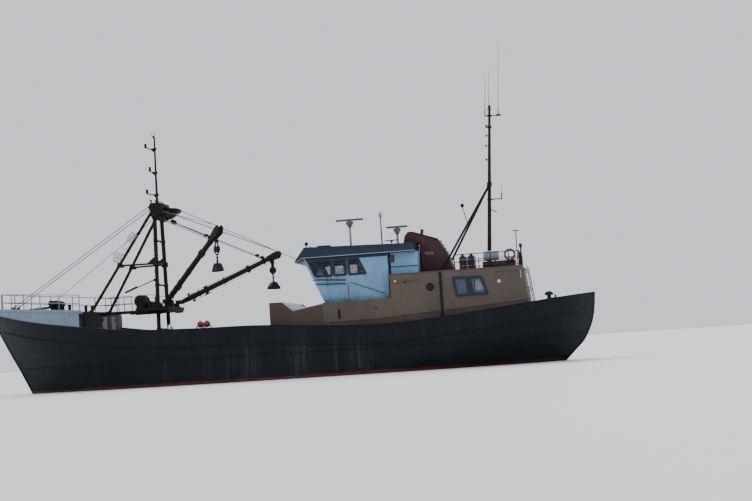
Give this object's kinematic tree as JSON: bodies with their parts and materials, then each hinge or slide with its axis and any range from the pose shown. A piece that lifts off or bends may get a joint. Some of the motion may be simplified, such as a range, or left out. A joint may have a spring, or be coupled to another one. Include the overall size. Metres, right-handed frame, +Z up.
{
  "type": "fishing trawler",
  "caption": "Steel fishing trawler with raked bow, portal foremast, a hinged derrick on each side, forward-raked wheelhouse, funnel, aft mast, rudder and propeller.",
  "frame": {"origin": "on the waterline plane, amidships, on the centreline", "axes": "+X forward to the bow, +Y to port, +Z up"},
  "size_m": [35.91, 14.411, 21.5113],
  "materials": {
    "hull_paint": "worn black hull paint",
    "pale_blue_paint": "weathered pale blue paint",
    "white_paint": "weathered white paint",
    "dark_paint": "matt dark paint with rust",
    "mast_paint": "dark brown paint",
    "ochre_paint": "weathered ochre brown paint",
    "navy_paint": "navy blue paint",
    "maroon_paint": "maroon paint",
    "deck_paint": "rough deck paint",
    "underwater_paint": "matt red bottom paint",
    "bare_steel": "dull galvanised steel",
    "bronze": "dull bronze",
    "window_glass": "clear",
    "console_plastic": "matt dark grey",
    "raft_plastic": "weathered pale plastic"
  },
  "bodies": {
    "vessel": {"hull": "hull_paint", "forecastle": "pale_blue_paint", "forecastle_bulkhead": "dark_paint", "bow_rail": "white_paint", "windlass": "dark_paint", "foremast_legs": "mast_paint", "raking_leg_port": "mast_paint", "raking_leg_starboard": "mast_paint", "mast_head": "mast_paint", "topmast": "mast_paint", "mast_platform": "mast_paint", "forestay_port": "bare_steel", "forestay_starboard": "bare_steel", "main_stay": "bare_steel", "hatch_coaming": "mast_paint", "winch_shelter": "ochre_paint", "winch_frame": "dark_paint", "casing_port": "ochre_paint", "casing_starboard": "ochre_paint", "casing_aft": "ochre_paint", "wheelhouse_deck": "deck_paint", "boat_deck": "deck_paint", "casing_glass_port": "window_glass", "casing_glass_starboard": "window_glass", "wheelhouse_port": "white_paint", "wheelhouse_starboard": "white_paint", "wheelhouse_front": "white_paint", "wheelhouse_aft": "white_paint", "wheelhouse_roof": "navy_paint", "glass_port": "window_glass", "glass_starboard": "window_glass", "glass_front": "window_glass", "helm_console": "console_plastic", "helm_chair": "console_plastic", "annex": "white_paint", "funnel": "maroon_paint", "boat_deck_rail": "white_paint", "boat_deck_locker": "ochre_paint", "raft_canister": "raft_plastic", "gas_bottles": "maroon_paint", "aft_mast": "mast_paint", "mushroom_vent": "dark_paint", "stern_bollards": "dark_paint"},
    "forecastle_door_middle": {"forecastle_door_middle": "pale_blue_paint"},
    "forecastle_door_starboard": {"forecastle_door_starboard": "pale_blue_paint"},
    "wheelhouse_door": {"wheelhouse_door": "white_paint"},
    "casing_door": {"casing_door": "ochre_paint"},
    "hatch_lid": {"hatch_lid": "bare_steel"},
    "rope_drum": {"rope_drum": "dark_paint"},
    "winch_drum": {"winch_drum": "bare_steel"},
    "radar_scanner_forward": {"radar_scanner_forward": "dark_paint"},
    "radar_scanner_aft": {"radar_scanner_aft": "dark_paint"},
    "rudder": {"rudder": "underwater_paint"},
    "propeller": {"propeller": "bronze"},
    "gooseneck_port": {"gooseneck_port": "dark_paint"},
    "derrick_port": {"derrick_port": "mast_paint"},
    "hoisting_block_port": {"hoisting_block_port": "dark_paint"},
    "gooseneck_starboard": {"gooseneck_starboard": "dark_paint"},
    "derrick_starboard": {"derrick_starboard": "mast_paint"},
    "hoisting_block_starboard": {"hoisting_block_starboard": "dark_paint"}
  },
  "joints": [
    {"name": "propeller_spin", "type": "hinge", "parent": "vessel", "child": "propeller", "pos_m": [-13.25, 0, -1.95], "axis": [1, 0, 0], "continuous": true},
    {"name": "rudder_turn", "type": "hinge", "parent": "vessel", "child": "rudder", "pos_m": [-14.35, 0, -1.5], "axis": [0, 0, 1], "range_deg": [-35, 35]},
    {"name": "port_slew", "type": "hinge", "parent": "vessel", "child": "gooseneck_port", "pos_m": [7.32, 1.25, 4.88], "axis": [0, 0, 1], "range_deg": [-40, 28]},
    {"name": "port_topping", "type": "hinge", "parent": "gooseneck_port", "child": "derrick_port", "pos_m": [7.14942, 1.44622, 4.88], "axis": [0.7547, 0.6561, 0], "range_deg": [-15, 32]},
    {"name": "port_block_swing", "type": "hinge", "parent": "derrick_port", "child": "hoisting_block_port", "pos_m": [2.73353, 6.52613, 7.72488], "axis": [0.7547, 0.6561, 0], "range_deg": [-32, 15]},
    {"name": "starboard_slew", "type": "hinge", "parent": "vessel", "child": "gooseneck_starboard", "pos_m": [7.32, -1.25, 4.88], "axis": [0, 0, -1], "range_deg": [-40, 28]},
    {"name": "starboard_topping", "type": "hinge", "parent": "gooseneck_starboard", "child": "derrick_starboard", "pos_m": [7.14942, -1.44622, 4.88], "axis": [-0.7547, 0.6561, 0], "range_deg": [-15, 32]},
    {"name": "starboard_block_swing", "type": "hinge", "parent": "derrick_starboard", "child": "hoisting_block_starboard", "pos_m": [2.60071, -6.67893, 7.188], "axis": [-0.7547, 0.6561, 0], "range_deg": [-32, 15]},
    {"name": "rope_drum_spin", "type": "hinge", "parent": "vessel", "child": "rope_drum", "pos_m": [9.13, 0, 5.03], "axis": [0, 1, 0], "continuous": true},
    {"name": "winch_drum_spin", "type": "hinge", "parent": "vessel", "child": "winch_drum", "pos_m": [-0.25, 0, 2.86], "axis": [0, 1, 0], "continuous": true},
    {"name": "radar_forward_spin", "type": "hinge", "parent": "vessel", "child": "radar_scanner_forward", "pos_m": [-3.56, 0, 8.88], "axis": [0, 0, 1], "continuous": true},
    {"name": "radar_aft_spin", "type": "hinge", "parent": "vessel", "child": "radar_scanner_aft", "pos_m": [-6.3, 0, 8.27], "axis": [0, 0, 1], "continuous": true},
    {"name": "forecastle_door_middle_hinge", "type": "hinge", "parent": "vessel", "child": "forecastle_door_middle", "pos_m": [11.508, 0.22, 3.55], "axis": [0, 0, -1], "range_deg": [0, 100]},
    {"name": "forecastle_door_starboard_hinge", "type": "hinge", "parent": "vessel", "child": "forecastle_door_starboard", "pos_m": [11.508, -2.13, 3.55], "axis": [0, 0, 1], "range_deg": [0, 100]},
    {"name": "wheelhouse_door_hinge", "type": "hinge", "parent": "vessel", "child": "wheelhouse_door", "pos_m": [-4.96, -2.332, 5.25], "axis": [0, 0, 1], "range_deg": [0, 110]},
    {"name": "casing_door_hinge", "type": "hinge", "parent": "vessel", "child": "casing_door", "pos_m": [-13.70485, -0.38, 3.4], "axis": [0.1267, 0, 0.9919], "range_deg": [0, 110]},
    {"name": "hatch_lid_hinge", "type": "hinge", "parent": "vessel", "child": "hatch_lid", "pos_m": [3.26, 0, 2.8403], "axis": [0, -1, 0], "range_deg": [0, 100]}
  ],
  "couplings": [
    {"joint": "port_block_swing", "follows": "port_topping", "ratio": -1},
    {"joint": "starboard_block_swing", "follows": "starboard_topping", "ratio": -1}
  ]
}
